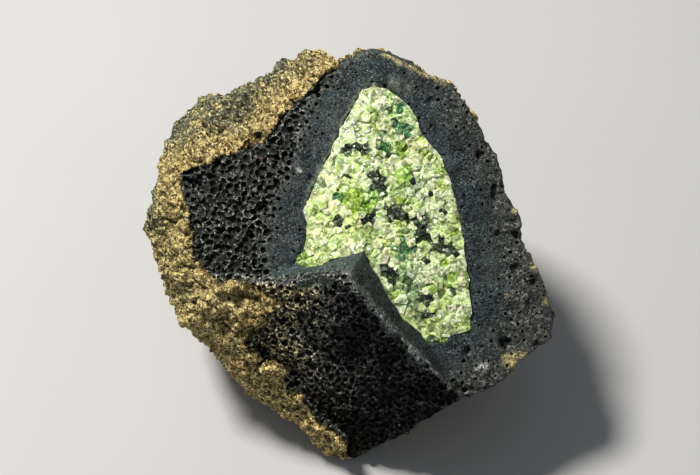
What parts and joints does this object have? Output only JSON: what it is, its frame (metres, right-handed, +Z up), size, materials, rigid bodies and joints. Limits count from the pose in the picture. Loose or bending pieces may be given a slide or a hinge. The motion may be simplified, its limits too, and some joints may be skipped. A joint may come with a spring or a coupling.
{
  "type": "olivine nodule in a volcanic bomb",
  "caption": "Broken vesicular basalt bomb with a weathered crust, lying on its back, with a green granular olivine nodule set in its broken face.",
  "frame": {"origin": "on the ground under the middle of the stone's bounding box, in the plane of the flat patch it rests on", "axes": "+Z up, +X to the right and -Y towards the side from which the broken face is seen; the broken face looks up and towards -Y, 55 degrees above the horizontal"},
  "size_m": [0.113, 0.0982, 0.0981],
  "materials": {
    "basalt": "matt dark grey vesicular basalt, with a rough golden-brown weathered crust on its outer side",
    "olivine": "glassy yellow-green grains, some emerald, dark green or brown"
  },
  "bodies": {
    "root": {"basalt_bomb": "basalt", "olivine_nodule": "olivine"}
  },
  "joints": []
}
